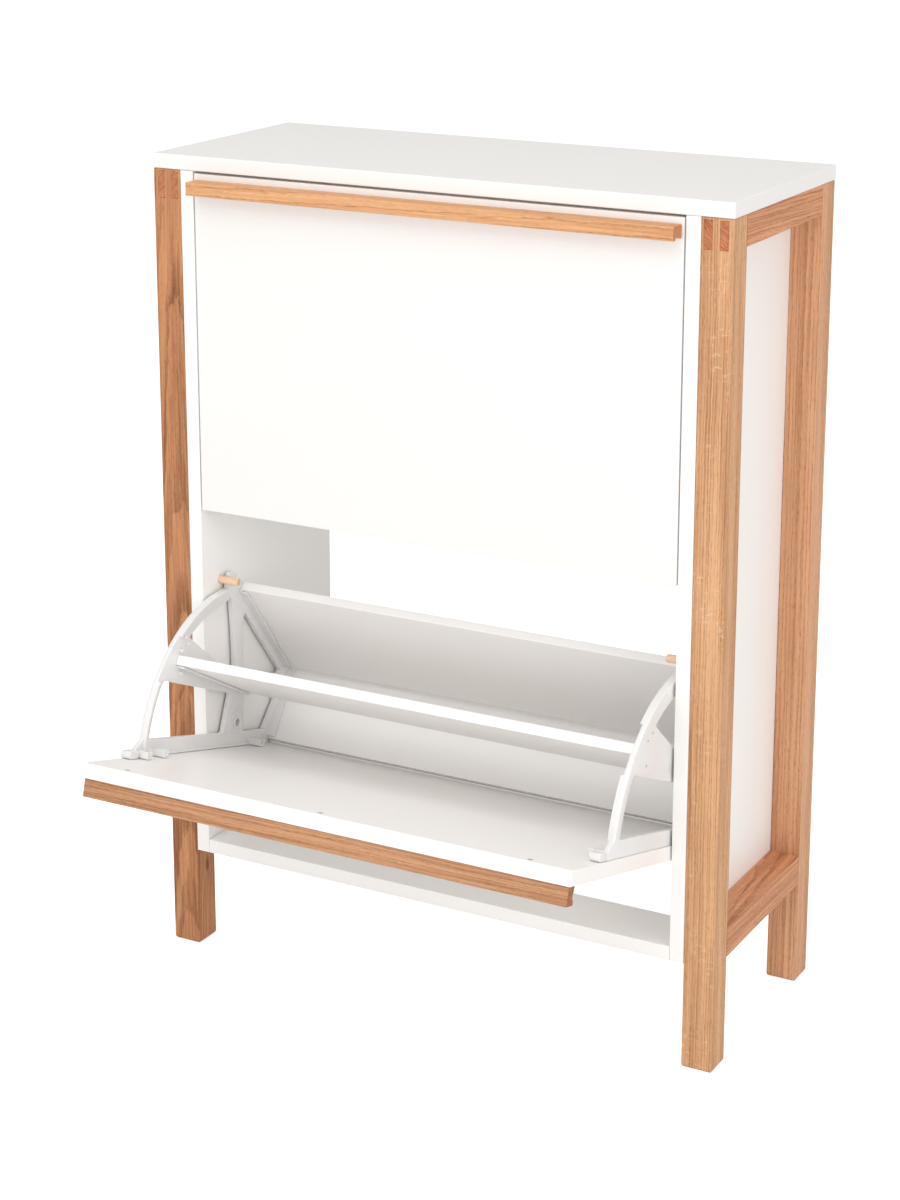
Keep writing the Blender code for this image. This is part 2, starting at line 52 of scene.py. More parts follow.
# ---- Studio ----
# A pale floor under an even white sky, a large soft lamp high in front, weaker ones low in front
# and from the right, and a long lens at the height of a standing person.

scene = bpy.context.scene
scene.view_settings.view_transform = "Standard"

camera = bpy.data.objects.new("camera", bpy.data.cameras.new("camera"))
scene.collection.objects.link(camera)
camera.location = (1.4113, -2.5491, 1.4794)
camera.rotation_euler = (math.radians(75.63), 0.0, math.radians(28.64))
camera.data.lens = 77.52
camera.data.sensor_width = 36.0
camera.data.shift_y = -0.15
scene.camera = camera


def add_node(tree, kind, feeds=None, **settings):
    """Adds a node. Feeds gives its inputs, each as a value or as another node's output."""
    made = tree.nodes.new(kind)
    for setting, value in settings.items():
        setattr(made, setting, value)
    for socket, value in (feeds or {}).items():
        if isinstance(value, bpy.types.NodeSocket):
            tree.links.new(value, made.inputs[socket])
        else:
            made.inputs[socket].default_value = value
    return made


def surface(name, **finish):
    """A new material and its Principled shader, with the plain values of its finish."""
    made = bpy.data.materials.new(name)
    made.use_nodes = True
    shader = made.node_tree.nodes["Principled BSDF"]
    for socket, value in finish.items():
        shader.inputs[socket.replace("_", " ")].default_value = value
    return made, shader


sky = bpy.data.worlds.new("white sky")
sky.use_nodes = True
sky_shader = sky.node_tree.nodes["Background"]
sky_shader.inputs["Color"].default_value = (1.0, 0.995, 0.985, 1.0)
SKY_LIGHT = 0.67  # its strength as a light, while it looks pure white


def lit_for_camera(tree, seen, otherwise):
    """A strength that differs for what the camera sees directly."""
    direct = tree.nodes.new("ShaderNodeLightPath").outputs["Is Camera Ray"]
    return add_node(tree, "ShaderNodeMath", {0: direct, 1: seen - otherwise, 2: otherwise},
                    operation="MULTIPLY_ADD").outputs[0]


sky.node_tree.links.new(lit_for_camera(sky.node_tree, 1.0, SKY_LIGHT), sky_shader.inputs["Strength"])
scene.world = sky

LAMP_TARGET = Vector((0.0, 0.0, 0.55))
for lamp_name, place, size, power in (
    ("overhead lamp", (0.1, -1.6, 3.4), 2.8, 42.0),
    ("front lamp", (-0.7, -4.2, 0.8), 2.6, 37.0),
    ("side lamp", (3.4, -1.6, 1.4), 2.2, 38.0),
):
    lamp = bpy.data.objects.new(lamp_name, bpy.data.lights.new(lamp_name, "AREA"))
    lamp.data.energy = power
    lamp.data.size = size
    lamp.location = place
    lamp.rotation_euler = (LAMP_TARGET - Vector(place)).to_track_quat("-Z", "Y").to_euler()
    scene.collection.objects.link(lamp)

FLOOR_HALF = 20.0
FLOOR_DROP = 0.0002  # keeps the floor from touching the feet
FLOOR_GLOW = 0.60  # makes the floor look pure white without adding light
floor_mesh = bpy.data.meshes.new("floor")
floor_signs = ((-1, -1), (1, -1), (1, 1), (-1, 1))
floor_corners = [(x * FLOOR_HALF, y * FLOOR_HALF, -FLOOR_DROP) for x, y in floor_signs]
floor_mesh.from_pydata(floor_corners, [], [(0, 1, 2, 3)])
floor = bpy.data.objects.new("floor", floor_mesh)
scene.collection.objects.link(floor)
floor_finish, floor_shader = surface("pale floor", Base_Color=(0.90, 0.895, 0.888, 1.0), Roughness=0.95)
floor_shader.inputs["Specular IOR Level"].default_value = 0.1
floor_shader.inputs["Emission Color"].default_value = (1.0, 1.0, 1.0, 1.0)
glow = lit_for_camera(floor_finish.node_tree, FLOOR_GLOW, 0.0)
floor_finish.node_tree.links.new(glow, floor_shader.inputs["Emission Strength"])
floor_mesh.materials.append(floor_finish)

# ---- Oak frames ----
# Each side is a frame of four oiled oak pieces: two square posts, a top rail whose twin tenons run
# through both posts and show as end grain, and a lower rail on hidden tenons. The grain follows
# each piece's length, and every piece comes from another plank.


def tone(red, green, blue):
    """A colour from a paint chart, 0 to 255, as linear reflectance."""
    linear = []
    for channel in (red, green, blue):
        share = channel / 255
        linear.append(share / 12.92 if share <= 0.04045 else ((share + 0.055) / 1.055) ** 2.4)
    return (*linear, 1.0)


def start_group(name, inputs, outputs):
    """A shader node group, with what its inputs give and what its outputs take."""
    tree = bpy.data.node_groups.new(name, "ShaderNodeTree")
    for label, kind, value in inputs:
        socket = tree.interface.new_socket(label, in_out="INPUT", socket_type=f"NodeSocket{kind}")
        socket.default_value = value
    for label, kind in outputs:
        tree.interface.new_socket(label, in_out="OUTPUT", socket_type=f"NodeSocket{kind}")
    return tree, tree.nodes.new("NodeGroupInput").outputs, tree.nodes.new("NodeGroupOutput").inputs


def work(tree, operation, *values):
    """The output of a Math node."""
    return add_node(tree, "ShaderNodeMath", dict(enumerate(values)), operation=operation).outputs[0]


def work_vector(tree, operation, *values, out="Vector"):
    """The output of a Vector Math node, whose second value is a plain factor where it scales."""
    feeds = dict(enumerate(values))
    if operation == "SCALE":
        feeds["Scale"] = feeds.pop(1)
    return add_node(tree, "ShaderNodeVectorMath", feeds, operation=operation).outputs[out]


def eased(tree, value, start, end, low=0.0, high=1.0):
    """Turns a value's run from start to end into a smooth step from low to high."""
    feeds = {"Value": value, "From Min": start, "From Max": end, "To Min": low, "To Max": high}
    return add_node(tree, "ShaderNodeMapRange", feeds, interpolation_type="SMOOTHSTEP").outputs["Result"]


def blended(tree, factor, first, second, blend_type="MIX"):
    """The colour between two colours."""
    feeds = {0: factor, 6: first, 7: second}
    return add_node(tree, "ShaderNodeMix", feeds, data_type="RGBA", blend_type=blend_type).outputs[2]


def grained_noise(tree, place, seed, stretch, detail=2.0, out="Fac"):
    """Noise with so many blotches to the metre along each axis."""
    stretched = work_vector(tree, "MULTIPLY", place, stretch)
    feeds = {"Vector": stretched, "W": seed, "Scale": 1.0, "Detail": detail}
    return add_node(tree, "ShaderNodeTexNoise", feeds, noise_dimensions="4D").outputs[out]


PORE_BROWN = (0.16, 0.07, 0.03, 1.0)
RAY_CREAM = (0.88, 0.68, 0.48, 1.0)
KNOT_BROWN = (0.13, 0.05, 0.02, 1.0)
END_GRAIN_SHADE = (0.78, 0.60, 0.50, 1.0)
RIPPLE = 0.0026  # how far the small waves bend the rings


def make_oak_figure():
    """Growth rings, pores, rays and knots of oak, in a space whose Z runs along the grain."""
    tree, given, result = start_group(
        "oak figure",
        [
            ("Place", "Vector", (0.0, 0.0, 0.0)),
            ("End Grain", "Float", 0.0),
            ("Seed", "Float", 0.0),
            ("Pith", "Vector", (0.1, 0.0, 0.0)),
            ("Lean", "Vector", (0.0, 0.0, 0.0)),
            ("Ring Width", "Float", 0.003),
            ("Wander", "Float", 0.006),
            ("Light", "Color", (0.6, 0.4, 0.2, 1.0)),
            ("Dark", "Color", (0.4, 0.2, 0.1, 1.0)),
            ("Rays", "Float", 0.5),
            ("Knot", "Vector", (0.0, 0.0, 9.0)),
            ("Knot Size", "Float", 0.01),
        ],
        [("Color", "Color"), ("Roughness", "Float"), ("Height", "Float")],
    )
    place, seed = given["Place"], given["Seed"]
    along = add_node(tree, "ShaderNodeSeparateXYZ", {0: place}).outputs["Z"]

    # where a point lies in the trunk: its distance from the pith, bent by slow wandering and by knots
    bend = grained_noise(tree, place, seed, (9.0, 9.0, 2.0), 1.0, "Color")
    bend = work_vector(tree, "SCALE", work_vector(tree, "SUBTRACT", bend, (0.5, 0.5, 0.5)), given["Wander"])
    ripple = grained_noise(tree, place, seed, (90.0, 90.0, 34.0), 2.0, "Color")
    ripple = work_vector(tree, "SCALE", work_vector(tree, "SUBTRACT", ripple, (0.5, 0.5, 0.5)), RIPPLE)
    trunk = work_vector(tree, "SUBTRACT", place, given["Pith"])
    trunk = work_vector(tree, "SUBTRACT", trunk, work_vector(tree, "SCALE", given["Lean"], along))
    trunk = work_vector(tree, "ADD", work_vector(tree, "ADD", trunk, bend), ripple)
    flat = work_vector(tree, "MULTIPLY", trunk, (1.0, 1.0, 0.0))
    from_knot = work_vector(tree, "SUBTRACT", place, given["Knot"])
    from_knot = work_vector(tree, "MULTIPLY", from_knot, (1.0, 1.0, 0.4))
    knot_distance = work_vector(tree, "LENGTH", from_knot, out="Value")
    knot_share = work(tree, "DIVIDE", knot_distance, given["Knot Size"])
    swell = work(tree, "MULTIPLY", eased(tree, knot_share, 3.0, 0.2), given["Knot Size"])
    radius = work(tree, "ADD", work_vector(tree, "LENGTH", flat, out="Value"), swell)

    # rings: a coarse dark start and a smooth pale end, each ring of its own width and tone
    count = work(tree, "DIVIDE", radius, given["Ring Width"])
    outward = add_node(tree, "ShaderNodeCombineXYZ", {"X": count}).outputs[0]
    uneven = grained_noise(tree, outward, seed, (0.6,) * 3)
    count = work(tree, "ADD", count, work(tree, "MULTIPLY", uneven, 3.2))
    ring = work(tree, "FRACT", count)
    early = work(tree, "MAXIMUM", eased(tree, ring, 0.55, 0.05), eased(tree, ring, 0.9, 1.0))
    own_tone = add_node(
        tree, "ShaderNodeTexWhiteNoise", {"W": work(tree, "FLOOR", count)}, noise_dimensions="1D"
    ).outputs["Value"]

    # pores are long dark dashes, mostly in a ring's start, and rays are small pale plates across the rings
    fine = grained_noise(tree, place, seed, (1100.0, 1100.0, 120.0))
    crowding = work(tree, "MULTIPLY_ADD", early, 0.65, 0.35)
    pore = work(tree, "MULTIPLY", eased(tree, fine, 0.52, 0.64), crowding)
    split = add_node(tree, "ShaderNodeSeparateXYZ", {0: trunk})
    arc = work(tree, "MULTIPLY", work(tree, "ARCTAN2", split.outputs["Y"], split.outputs["X"]), radius)
    plates = add_node(tree, "ShaderNodeCombineXYZ", {"X": arc, "Y": radius, "Z": along}).outputs[0]
    ray = eased(tree, grained_noise(tree, plates, seed, (330.0, 150.0, 260.0), 2.0), 0.54, 0.72)
    drift = eased(tree, grained_noise(tree, place, seed, (40.0, 40.0, 13.0), 1.0), 0.44, 0.64)
    ray = work(tree, "MULTIPLY", work(tree, "MULTIPLY", ray, drift), given["Rays"])

    # the colour: rings, fine streaks and broad drifts between the plank's light and dark, then the rest
    streak = grained_noise(tree, trunk, seed, (420.0, 420.0, 8.0), 3.0)
    broad = grained_noise(tree, place, seed, (45.0, 45.0, 2.4), 2.0)
    shade = work(tree, "MULTIPLY_ADD", early, 0.40, 0.00)
    shade = work(tree, "ADD", shade, work(tree, "MULTIPLY_ADD", streak, 1.5, -0.75))
    shade = work(tree, "ADD", shade, work(tree, "MULTIPLY_ADD", broad, 1.3, -0.50))
    shade = work(tree, "ADD", shade, work(tree, "MULTIPLY", own_tone, 0.16))
    shade = add_node(tree, "ShaderNodeClamp", {"Value": shade}).outputs[0]
    colour = blended(tree, shade, given["Light"], given["Dark"])
    colour = blended(tree, work(tree, "MULTIPLY", pore, 0.42), colour, PORE_BROWN)
    colour = blended(tree, ray, colour, blended(tree, 0.45, colour, RAY_CREAM))
    end_colour = blended(tree, 1.0, colour, END_GRAIN_SHADE, "MULTIPLY")
    colour = blended(tree, eased(tree, given["End Grain"], 0.5, 0.8), colour, end_colour)
    heart = eased(tree, knot_share, 0.75, 0.25)
    colour = blended(tree, work(tree, "MULTIPLY", heart, 0.75), colour, KNOT_BROWN)
    tree.links.new(colour, result["Color"])

    dull = work(tree, "MULTIPLY_ADD", pore, 0.16, 0.44)
    tree.links.new(work(tree, "MULTIPLY_ADD", streak, 0.10, dull), result["Roughness"])
    relief = work(tree, "MULTIPLY_ADD", pore, -1.0, work(tree, "MULTIPLY", streak, 0.35))
    tree.links.new(work(tree, "MULTIPLY_ADD", early, -0.2, relief), result["Height"])
    return tree


oak_figure = make_oak_figure()
GRAIN_TURNS = {"X": (0.0, math.radians(-90), 0.0), "Y": (math.radians(90), 0.0, 0.0), "Z": (0.0, 0.0, 0.0)}
GRAIN_AXES = {"X": (1.0, 0.0, 0.0), "Y": (0.0, 1.0, 0.0), "Z": (0.0, 0.0, 1.0)}


def finish_as(node_name, made):
    """Gives a CAD node a material in each of its slots."""
    for slot in nodes[node_name].material_slots:
        slot.material = made


def bumped(tree, shader, height, depth, strength):
    """Feeds a shader's normal from a height, in metres where the strength is 1."""
    bump = add_node(tree, "ShaderNodeBump", {"Height": height, "Distance": depth, "Strength": strength})
    tree.links.new(bump.outputs["Normal"], shader.inputs["Normal"])


def finish_in_oak(node_name, grain, seed, light, dark, pith, lean=(0.0, 0.0), ring=0.003, wander=0.006,
                  rays=0.4, knot=(0.0, 0.0, 9.0), knot_size=0.008):
    """Oiled oak for one piece, with the figure centred on it and its grain along X, Y or Z."""
    made, shader = surface(f"{node_name} oiled oak", IOR=1.45)
    shader.inputs["Specular IOR Level"].default_value = 0.35
    tree = made.node_tree
    low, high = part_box(node_name)
    turn = Euler(GRAIN_TURNS[grain])
    coordinates = tree.nodes.new("ShaderNodeTexCoord").outputs
    centring = {
        "Vector": coordinates["Object"],
        "Location": -(turn.to_matrix() @ ((low + high) / 2)),
        "Rotation": turn,
    }
    place = add_node(tree, "ShaderNodeMapping", centring).outputs["Vector"]
    facing = work_vector(tree, "DOT_PRODUCT", coordinates["Normal"], GRAIN_AXES[grain], out="Value")
    feeds = {
        "Place": place,
        "End Grain": work(tree, "ABSOLUTE", facing),
        "Seed": seed,
        "Pith": (*pith, 0.0),
        "Lean": (*lean, 0.0),
        "Ring Width": ring,
        "Wander": wander,
        "Light": tone(*light),
        "Dark": tone(*dark),
        "Rays": rays,
        "Knot": knot,
        "Knot Size": knot_size,
    }
    figure = tree.nodes.new("ShaderNodeGroup")
    figure.node_tree = oak_figure
    for label, value in feeds.items():
        if isinstance(value, bpy.types.NodeSocket):
            tree.links.new(value, figure.inputs[label])
        else:
            figure.inputs[label].default_value = value
    tree.links.new(figure.outputs["Color"], shader.inputs["Base Color"])
    tree.links.new(figure.outputs["Roughness"], shader.inputs["Roughness"])
    bumped(tree, shader, figure.outputs["Height"], 0.0002, 0.45)
    finish_as(node_name, made)


HONEY = {"light": (222, 172, 128), "dark": (166, 112, 72)}
TAN = {"light": (226, 172, 132), "dark": (180, 122, 86)}
RED_BROWN = {"light": (222, 158, 116), "dark": (166, 102, 66)}
CHESTNUT = {"light": (202, 142, 98), "dark": (128, 74, 44)}

finish_in_oak("right_front_post", "Z", 1.3, **HONEY, pith=(-0.09, 0.07), ring=0.0026, wander=0.006, rays=0.75)
finish_in_oak("right_rear_post", "Z", 2.9, **TAN, pith=(0.06, 0.07), ring=0.0030, wander=0.007, rays=0.45)
finish_in_oak("left_front_post", "Z", 4.1, **CHESTNUT, pith=(0.012, 0.055), lean=(0.006, 0.03), ring=0.0042,
              wander=0.020, rays=0.25, knot=(0.019, 0.002, -0.400), knot_size=0.007)
finish_in_oak("left_rear_post", "Z", 5.7, **TAN, pith=(0.08, 0.02), ring=0.0031, wander=0.008, rays=0.35)
finish_in_oak("right_top_rail", "Y", 7.2, **RED_BROWN, pith=(0.05, -0.045), lean=(0.02, 0.05), ring=0.0036,
              rays=0.3)
finish_in_oak("left_top_rail", "Y", 8.8, **TAN, pith=(-0.05, -0.045), lean=(0.02, 0.03), ring=0.0034,
              rays=0.3)
finish_in_oak("right_lower_rail", "Y", 9.4, **RED_BROWN, pith=(-0.02, 0.07), lean=(0.0, 0.02), ring=0.0033,
              rays=0.7)
finish_in_oak("left_lower_rail", "Y", 10.6, **TAN, pith=(0.02, 0.07), lean=(0.0, 0.03), ring=0.0035, rays=0.5)

# ---- Carcass ----
# The top, the two side panels, the board across the front and the stretcher at the back are 18 mm
# board sprayed with satin white lacquer, on dowels. The spray leaves a faint orange peel.


AGED_SHADE = (0.955, 0.95, 0.94, 1.0)


def make_lacquer_film():
    """Satin lacquer: a faint orange peel, and a slow drift of tone and gloss."""
    tree, given, result = start_group(
        "lacquer film",
        [
            ("Place", "Vector", (0.0, 0.0, 0.0)),
            ("Seed", "Float", 0.0),
            ("Tint", "Color", (0.8, 0.8, 0.8, 1.0)),
        ],
        [("Color", "Color"), ("Roughness", "Float"), ("Height", "Float")],
    )
    place, seed = given["Place"], given["Seed"]
    peel = grained_noise(tree, place, seed, (420.0,) * 3, 2.0)
    speckle = grained_noise(tree, place, seed, (1500.0,) * 3, 1.0)
    drift = grained_noise(tree, place, seed, (5.0,) * 3, 2.0)
    shade = work(tree, "MULTIPLY_ADD", drift, 0.5, work(tree, "MULTIPLY", speckle, 0.3))
    darker = blended(tree, 1.0, given["Tint"], AGED_SHADE, "MULTIPLY")
    tree.links.new(blended(tree, shade, given["Tint"], darker), result["Color"])
    tree.links.new(work(tree, "MULTIPLY_ADD", drift, 0.10, 0.30), result["Roughness"])
    relief = work(tree, "MULTIPLY_ADD", peel, 0.8, work(tree, "MULTIPLY", speckle, 0.2))
    tree.links.new(relief, result["Height"])
    return tree


lacquer_film = make_lacquer_film()
# Both whites are one lacquer. The second is a lighter copy that paints light onto the side panels, the
# bottom, the stretcher and the bin boards. The first, darker one is painted shade on the top and the upper
# flap.
WHITE = (0.885, 0.863, 0.846, 1.0)
PAINTED_LIGHT_WHITE = (0.950, 0.930, 0.912, 1.0)


def lacquer(name, seed, tint=WHITE):
    """A lacquer material, with its tree, shader, coordinates and colour for what may lie over it."""
    made, shader = surface(name, IOR=1.5)
    tree = made.node_tree
    coordinates = tree.nodes.new("ShaderNodeTexCoord").outputs
    film = tree.nodes.new("ShaderNodeGroup")
    film.node_tree = lacquer_film
    tree.links.new(coordinates["Object"], film.inputs["Place"])
    film.inputs["Seed"].default_value = seed
    film.inputs["Tint"].default_value = tint
    tree.links.new(film.outputs["Color"], shader.inputs["Base Color"])
    tree.links.new(film.outputs["Roughness"], shader.inputs["Roughness"])
    bumped(tree, shader, film.outputs["Height"], 0.00006, 0.5)
    return made, shader, coordinates, film.outputs


CARCASS_BOARDS = ("top_panel", "left_side_panel", "right_side_panel", "bottom_panel", "rear_stretcher")
for number, board in enumerate(CARCASS_BOARDS):
    # painted light: every board but the top gets the lighter copy of the white, and the top keeps the darker
    # one as painted shade
    tint = WHITE if board == "top_panel" else PAINTED_LIGHT_WHITE
    finish_as(board, lacquer(f"{board} white lacquer", 1.7 * number, tint)[0])

# ---- Dowels and stop pegs ----
# Turned beech: eight dowels hold the side panels to the posts, and a peg in each side panel stops
# each bin. Short dark ray flecks run along the grain and the ends are chamfered.


def beech(node_name, seed):
    """Beech with its grain along X, a shade darker on its ends."""
    made, shader = surface(f"{node_name} turned beech", IOR=1.45)
    tree = made.node_tree
    coordinates = tree.nodes.new("ShaderNodeTexCoord").outputs
    place = coordinates["Object"]
    facing = work_vector(tree, "DOT_PRODUCT", coordinates["Normal"], (1.0, 0.0, 0.0), out="Value")
    end = eased(tree, work(tree, "ABSOLUTE", facing), 0.6, 0.9)
    fibre = grained_noise(tree, place, seed, (60.0, 1200.0, 1200.0), 3.0)
    flecks = grained_noise(tree, place, seed, (350.0, 1600.0, 1600.0), 1.0)
    fleck = eased(tree, flecks, 0.60, 0.68)
    colour = blended(tree, fibre, tone(246, 216, 188), tone(228, 188, 154))
    colour = blended(tree, work(tree, "MULTIPLY", fleck, 0.4), colour, tone(186, 130, 94))
    colour = blended(tree, work(tree, "MULTIPLY", end, 0.5), colour, tone(206, 158, 116))
    tree.links.new(colour, shader.inputs["Base Color"])
    tree.links.new(work(tree, "MULTIPLY_ADD", fibre, 0.2, 0.45), shader.inputs["Roughness"])
    bumped(tree, shader, fibre, 0.00012, 0.4)
    finish_as(node_name, made)


wooden_rods = sorted(name for name in nodes if name.endswith(("_dowel", "_stop_peg")))
for number, rod_name in enumerate(wooden_rods):
    beech(rod_name, 0.9 * number)

# ---- Pivot pins ----
# Zinc-plated steel pins, 8 mm thick, are pressed into blind holes in the side panels, two for each
# bin. The bins' fittings turn on them.


def plated_steel(name, seed):
    """Zinc plate: small grey crystals, with a slight lengthwise draw."""
    made, shader = surface(name, Metallic=1.0)
    tree = made.node_tree
    place = tree.nodes.new("ShaderNodeTexCoord").outputs["Object"]
    crystals = add_node(tree, "ShaderNodeTexVoronoi", {"Vector": place, "Scale": 900.0})
    drawn = grained_noise(tree, place, seed, (200.0, 1800.0, 1800.0), 2.0)
    shade = work(tree, "MULTIPLY_ADD", crystals.outputs["Distance"], 0.6, work(tree, "MULTIPLY", drawn, 0.5))
    colour = blended(tree, shade, tone(196, 197, 198), tone(160, 161, 162))
    tree.links.new(colour, shader.inputs["Base Color"])
    tree.links.new(work(tree, "MULTIPLY_ADD", shade, 0.25, 0.22), shader.inputs["Roughness"])
    bumped(tree, shader, drawn, 0.00004, 0.3)
    return made


pin_steel = plated_steel("pivot pin zinc plate", 3.1)
for pin_name in [name for name in nodes if name.endswith("_pivot_pin")]:
    finish_as(pin_name, pin_steel)

# ---- Flaps and boards of the bins ----
# Each bin has an 18 mm lacquered flap and three 12 mm lacquered boards: a shelf, a high back board
# and a low back board, whose long arrises show a thin line of the brown core.

LEVELS = ("lower", "upper")
PIVOTS = {joint["child"].split("_")[0]: Vector(joint["pos_m"]) for joint in frame["joints"]}
REST_ANGLES = {}  # how far each bin is tipped where it rests
for joint in frame["joints"]:
    REST_ANGLES[joint["child"].split("_")[0]] = -math.radians(joint["range_deg"][0])
PIVOT_V = 0.0177  # height of the pivot above the flap's inner face
LOW_BOARD_ENDS = ((-0.0964, 0.0053), (-0.1310, 0.1000))  # u and v of its inner face's two long edges
LOW_BOARD_RUN = (Vector(LOW_BOARD_ENDS[1]) - Vector(LOW_BOARD_ENDS[0])).normalized()


def from_bin(level, x, u, v):
    """A point of a bin where the bin rests: u runs up the flap, and v inward from its inner face."""
    y, z = v - PIVOT_V, u
    cosine, sine = math.cos(REST_ANGLES[level]), math.sin(REST_ANGLES[level])
    pivot = PIVOTS[level]
    return Vector((x, pivot.y + y * cosine - z * sine, pivot.z + y * sine + z * cosine))


def bin_direction(level, u, v):
    """A direction in a bin, as it points where the bin rests."""
    return from_bin(level, 0.0, u, v) - from_bin(level, 0.0, 0.0, 0.0)


def low_back_lacquer(level, seed):
    """Lacquer, with a thin line of the brown core along the board's long arrises."""
    # the lighter copy of the white is painted light on this board
    made, shader, coordinates, film = lacquer(f"{level} low back board lacquer", seed, PAINTED_LIGHT_WHITE)
    tree = made.node_tree
    along = bin_direction(level, *LOW_BOARD_RUN)
    foot, top = (from_bin(level, 0.0, *end).dot(along) for end in LOW_BOARD_ENDS)
    reach = work_vector(tree, "DOT_PRODUCT", coordinates["Object"], along, out="Value")
    from_middle = work(tree, "ABSOLUTE", work(tree, "SUBTRACT", reach, (foot + top) / 2))
    half = (top - foot) / 2
    chips = grained_noise(tree, coordinates["Object"], seed, (260.0, 900.0, 900.0), 3.0)
    frayed = work(tree, "MULTIPLY_ADD", chips, 0.0006, from_middle)
    facing = work_vector(tree, "DOT_PRODUCT", coordinates["Normal"], along, out="Value")
    face = eased(tree, work(tree, "ABSOLUTE", facing), 0.6, 0.2)
    raw = work(tree, "MULTIPLY", eased(tree, frayed, half - 0.0008, half - 0.0003), face)
    core = blended(tree, chips, tone(190, 150, 120), tone(146, 110, 84))
    tree.links.new(blended(tree, raw, film["Color"], core), shader.inputs["Base Color"])
    rough = work(tree, "MULTIPLY_ADD", raw, 0.35, film["Roughness"])
    tree.links.new(rough, shader.inputs["Roughness"])
    return made


for number, level in enumerate(LEVELS):
    for order, board in enumerate(("flap", "middle_shelf", "high_back_board")):
        # painted light: all bin boards but the upper flap get the lighter copy of the white, and the upper
        # flap keeps the darker one as painted shade
        tint = WHITE if (level, board) == ("upper", "flap") else PAINTED_LIGHT_WHITE
        made = lacquer(f"{level} {board} white lacquer", 11.0 + 3 * number + order, tint)[0]
        finish_as(f"{level}_bin_{board}", made)
    finish_as(f"{level}_bin_low_back_board", low_back_lacquer(level, 21.0 + number))

# ---- Handles ----
# An oak strip screwed to the upper edge of each flap from inside, hollowed underneath as a finger
# pull. The grain runs along the strip.

finish_in_oak("upper_bin_handle", "X", 12.5, light=(228, 174, 126), dark=(184, 124, 80), pith=(-0.02, 0.03),
              lean=(0.004, 0.01), ring=0.0034, wander=0.010, rays=0.35)
finish_in_oak("lower_bin_handle", "X", 14.2, light=(202, 150, 110), dark=(146, 98, 66), pith=(0.02, -0.035),
              lean=(0.003, 0.012), ring=0.0036, wander=0.012, rays=0.35)

# ---- Fittings ----
# A white moulded side holds each end of a bin: a plate pierced by four windows, with a flanged arc
# that slides past the stop peg, a hook at its end, ribs that carry the boards, and three slotted
# lugs that stand on the flap. One mould serves both sides and both bins, mirrored.

FITTING_OUTER_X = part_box("lower_bin_right_fitting")[1].x
MOULD = {
    "web": 0.0065,
    "flange": 0.010,
    "flange_radius": 0.187,
    "arc_radius": 0.191,
    "foot_clearance": 0.0003,
    "board": 0.012,
    "board_clearance": 0.0003,
    "ledge": 0.003,
    "ledge_reach": 0.0175,
    "lug_reach": 0.025,
    "lug_height": 0.010,
    "edge": 0.0005,
    "overlap": 0.0020,  # how far what stands on the plate reaches into it
    "high_window_radius": 0.173,
    "low_window_radius": 0.179,
    "stud_radius": 0.0022,
    "stud_height": 0.0050,
    "dimple_radius": 0.0017,
    "dimple_depth": 0.0030,
    "driver_radius": 0.0038,
    "pin_radius": 0.0043,
    "pin_depth": 0.0048,
}
RING = {
    "middle": (-0.0154, 0.0313),
    "hole": 0.0050,
    "rim": 0.0085,
    "rim_height": 0.0020,
    "border": (0.0160, 0.0150),  # its outer and inner radius
    "border_height": 0.0007,
}
LUGS = (0.200, 0.165, -0.055)
SCREW_LUGS = (0.200, -0.055)
SCREW_DEPTH = 0.018  # inward from the fitting's outer face
SCREW_SEAT_V = 0.0037  # the floor of a driver hole
STUDS = ((0.1240, 0.1360), (0.1350, 0.1275), (0.1310, 0.0995), (0.1310, 0.1445))
DIMPLES = STUDS[:3]
FLANGE_INSET = 0.0002  # keeps the flange's rim just inside the plate's
BIN_BOARDS = {  # inner face from one end to the other, and 1 where the board lies left of that line
    "middle shelf": ((0.1421, 0.1108), (-0.0250, 0.0693), -1),
    "high back board": ((0.0174, 0.2026), (-0.1180, 0.1000), -1),
    "low back board": (*LOW_BOARD_ENDS, 1),
}


def arc_points(radius, start, end, steps, middle=(0.0, PIVOT_V)):
    """Points along an arc, as (u, v), about the pivot unless a middle is given. Angles in degrees."""
    angles = [math.radians(start + (end - start) * step / steps) for step in range(steps + 1)]
    return [(middle[0] + radius * math.cos(a), middle[1] + radius * math.sin(a)) for a in angles]


def filleted(outline, radius, steps=4):
    """Rounds the corners of an outline that turn by more than 20 degrees."""
    rounded = []
    for number, corner in enumerate(outline):
        corner = Vector(corner)
        back = Vector(outline[number - 1]) - corner
        on = Vector(outline[(number + 1) % len(outline)]) - corner
        turn = math.pi - back.angle(on)
        if turn < math.radians(20):
            rounded.append(corner)
            continue
        reach = min(radius * math.tan(turn / 2), 0.45 * back.length, 0.45 * on.length)
        first, last = corner + back.normalized() * reach, corner + on.normalized() * reach
        for step in range(steps + 1):
            share = step / steps
            rounded.append(first * (1 - share) ** 2 + corner * 2 * share * (1 - share) + last * share**2)
    return rounded


def to_mesh(obj, name):
    """A plain mesh of an object as its modifiers leave it, with shared edges joined."""
    bpy.context.view_layer.update()
    mesh = bpy.data.meshes.new_from_object(obj.evaluated_get(bpy.context.evaluated_depsgraph_get()))
    mesh.name = name
    bm = bmesh.new()
    bm.from_mesh(mesh)
    bmesh.ops.remove_doubles(bm, verts=bm.verts, dist=2e-6)
    bmesh.ops.recalc_face_normals(bm, faces=bm.faces)
    bm.to_mesh(mesh)
    bm.free()
    return mesh


